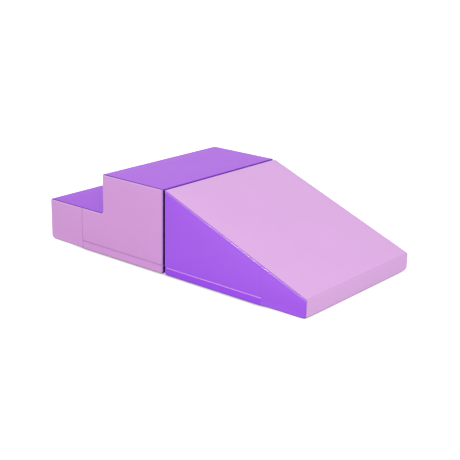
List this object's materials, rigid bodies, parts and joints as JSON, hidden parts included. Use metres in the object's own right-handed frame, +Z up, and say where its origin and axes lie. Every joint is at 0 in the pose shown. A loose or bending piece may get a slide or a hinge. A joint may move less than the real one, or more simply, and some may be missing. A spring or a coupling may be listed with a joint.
{
  "type": "foam climbing set",
  "caption": "Soft-play climbing set: a foam block with steps and a foam ramp block, each in a padded zip-off cover, standing end to end.",
  "frame": {"origin": "on the floor under the middle of the set", "axes": "+X along the set towards the ramp's nose, +Y across it, away from the side with the plain run of the zip, +Z up"},
  "size_m": [1.1943, 0.6207, 0.3066],
  "materials": {
    "purple_cover": "satin",
    "lilac_cover": "satin",
    "pink_lilac_cover": "satin",
    "base_cover": "matte",
    "back_cover": "satin",
    "foam": "matte",
    "zip_tape": "matte",
    "joining_strip": "matte",
    "zip_metal": "satin"
  },
  "bodies": {
    "step_block": {"step_tread_upper": "purple_cover", "step_tread_lower": "purple_cover", "step_riser_upper": "purple_cover", "step_riser_lower": "purple_cover", "step_back_panel": "back_cover", "step_hem_back": "back_cover", "step_side_near": "pink_lilac_cover", "step_side_far": "pink_lilac_cover", "step_toe_near": "pink_lilac_cover", "step_toe_far": "pink_lilac_cover", "step_hem_near": "pink_lilac_cover", "step_hem_far": "pink_lilac_cover", "step_base_panel": "base_cover", "step_core_lower": "foam", "step_core_upper": "foam", "step_zip_upper": "zip_tape", "step_zip_lower": "zip_tape", "step_hook_strip_near": "joining_strip", "step_hook_strip_far": "joining_strip"},
    "ramp_block": {"ramp_back_panel": "back_cover", "ramp_hem_back": "back_cover", "ramp_side_near": "purple_cover", "ramp_side_far": "purple_cover", "ramp_nose_near": "purple_cover", "ramp_nose_far": "purple_cover", "ramp_hem_near": "purple_cover", "ramp_hem_far": "purple_cover", "ramp_slope_panel": "lilac_cover", "ramp_base_panel": "base_cover", "ramp_core": "foam", "ramp_zip_upper": "zip_tape", "ramp_zip_lower": "zip_tape", "ramp_loop_strip_near": "joining_strip", "ramp_loop_strip_far": "joining_strip"},
    "step_slider": {"step_zip_slider": "zip_metal"},
    "step_pull": {"step_zip_pull": "zip_metal"},
    "ramp_slider": {"ramp_zip_slider": "zip_metal"},
    "ramp_pull": {"ramp_zip_pull": "zip_metal"}
  },
  "joints": [
    {"name": "ramp_pull_apart", "type": "slide", "parent": "step_block", "child": "ramp_block", "axis": [1, 0, 0], "range_m": [0, 0.3]},
    {"name": "step_zip_run", "type": "slide", "parent": "step_block", "child": "step_slider", "axis": [1, 0, 0], "range_m": [0, 0.36], "deforming": ["step_zip_upper", "step_zip_lower"]},
    {"name": "step_pull_swing", "type": "hinge", "parent": "step_slider", "child": "step_pull", "pos_m": [-0.40685, 0.3098, 0.031], "axis": [0, 0, 1], "range_deg": [0, 170]},
    {"name": "ramp_zip_run", "type": "slide", "parent": "ramp_block", "child": "ramp_slider", "axis": [-1, 0, 0], "range_m": [0, 0.38], "deforming": ["ramp_zip_upper", "ramp_zip_lower"]},
    {"name": "ramp_pull_swing", "type": "hinge", "parent": "ramp_slider", "child": "ramp_pull", "pos_m": [0.40435, 0.3098, 0.0275], "axis": [0, 0, -1], "range_deg": [0, 170]}
  ]
}
